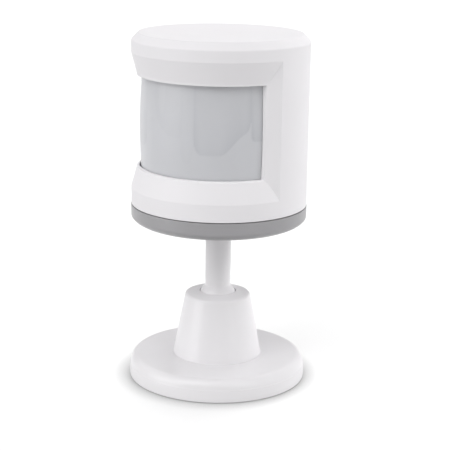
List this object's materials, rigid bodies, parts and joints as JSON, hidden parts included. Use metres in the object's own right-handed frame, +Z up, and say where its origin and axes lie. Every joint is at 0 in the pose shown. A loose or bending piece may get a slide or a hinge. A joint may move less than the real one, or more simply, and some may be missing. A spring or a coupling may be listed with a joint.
{
  "type": "motion sensor",
  "caption": "Round battery motion sensor with a wrap-around lens window, a grey twist-off battery cover, and a ball-joint stem on a cone post and disc foot.",
  "frame": {"origin": "centre of the foot's underside, on the sticky face of the adhesive pad", "axes": "+Z up through the ball joint and the head's axis; the window's middle faces -Y and the reset button is at +Y"},
  "size_m": [0.0306, 0.0306, 0.06],
  "materials": {
    "white_shell": "fine matt grain, white",
    "white_stand": "semi-gloss white",
    "grey_cover": "fine matt grain, mid grey",
    "lens": "translucent milky polyethylene",
    "white_inner": "plain moulded white",
    "dark_inner": "plain moulded black",
    "steel": "zinc plated",
    "nickel": "nickel plated",
    "gold": "gold plated pins",
    "board": "green solder mask",
    "ceramic": "unglazed ceramic",
    "filter_glass": "polished dark infrared filter",
    "foam": "closed-cell foam",
    "rubber": "soft sealing rubber",
    "nylon": "natural nylon"
  },
  "bodies": {
    "stand": {"stand": "white_stand", "base_plate": "white_inner", "base_screws": "steel", "adhesive_pad": "foam", "spring_plug": "white_inner", "clamp_spring": "steel"},
    "ball_pan": {"pressure_cup": "nylon"},
    "ball_tilt": {"friction_pad": "nylon"},
    "stem": {"ball_stem": "white_stand", "stem_washer": "steel", "stem_screw": "steel", "battery_cover": "grey_cover", "cover_seal": "rubber", "battery_pad": "foam"},
    "button": {"reset_button": "white_shell", "switch_plunger": "dark_inner"},
    "head": {"housing": "white_shell", "fresnel_lens": "lens", "lens_retainer": "white_inner", "coin_cell": "nickel", "battery_holder": "white_inner", "positive_contact": "nickel", "negative_contact": "nickel", "main_board": "board", "header_pins": "gold", "header_block": "dark_inner", "sensor_board": "board", "pir_sensor": "nickel", "pir_window": "filter_glass", "pir_pins": "gold", "pir_spacer": "dark_inner", "motion_chip": "dark_inner", "radio_module": "board", "radio_shield": "nickel", "antenna": "ceramic", "storage_capacitor": "dark_inner", "status_led": "ceramic", "light_sensor": "dark_inner", "switch_body": "dark_inner", "board_screws": "steel"}
  },
  "joints": [
    {"name": "pan", "type": "hinge", "parent": "stand", "child": "ball_pan", "pos_m": [0, 0, 0.0137], "axis": [0, 0, 1], "continuous": true},
    {"name": "tilt", "type": "hinge", "parent": "ball_pan", "child": "ball_tilt", "pos_m": [0, 0, 0.0137], "axis": [1, 0, 0], "range_deg": [-20, 20]},
    {"name": "spin", "type": "hinge", "parent": "ball_tilt", "child": "stem", "pos_m": [0, 0, 0.0137], "axis": [0, 0, 1], "continuous": true},
    {"name": "cover_twist", "type": "hinge", "parent": "stem", "child": "head", "pos_m": [0, 0, 0.031], "axis": [0, 0, 1], "range_deg": [0, 24]},
    {"name": "button_press", "type": "slide", "parent": "head", "child": "button", "axis": [0, -1, 0], "range_m": [0, 0.0004], "stiffness_N_per_m": 800, "springref_m": -0.0004}
  ]
}
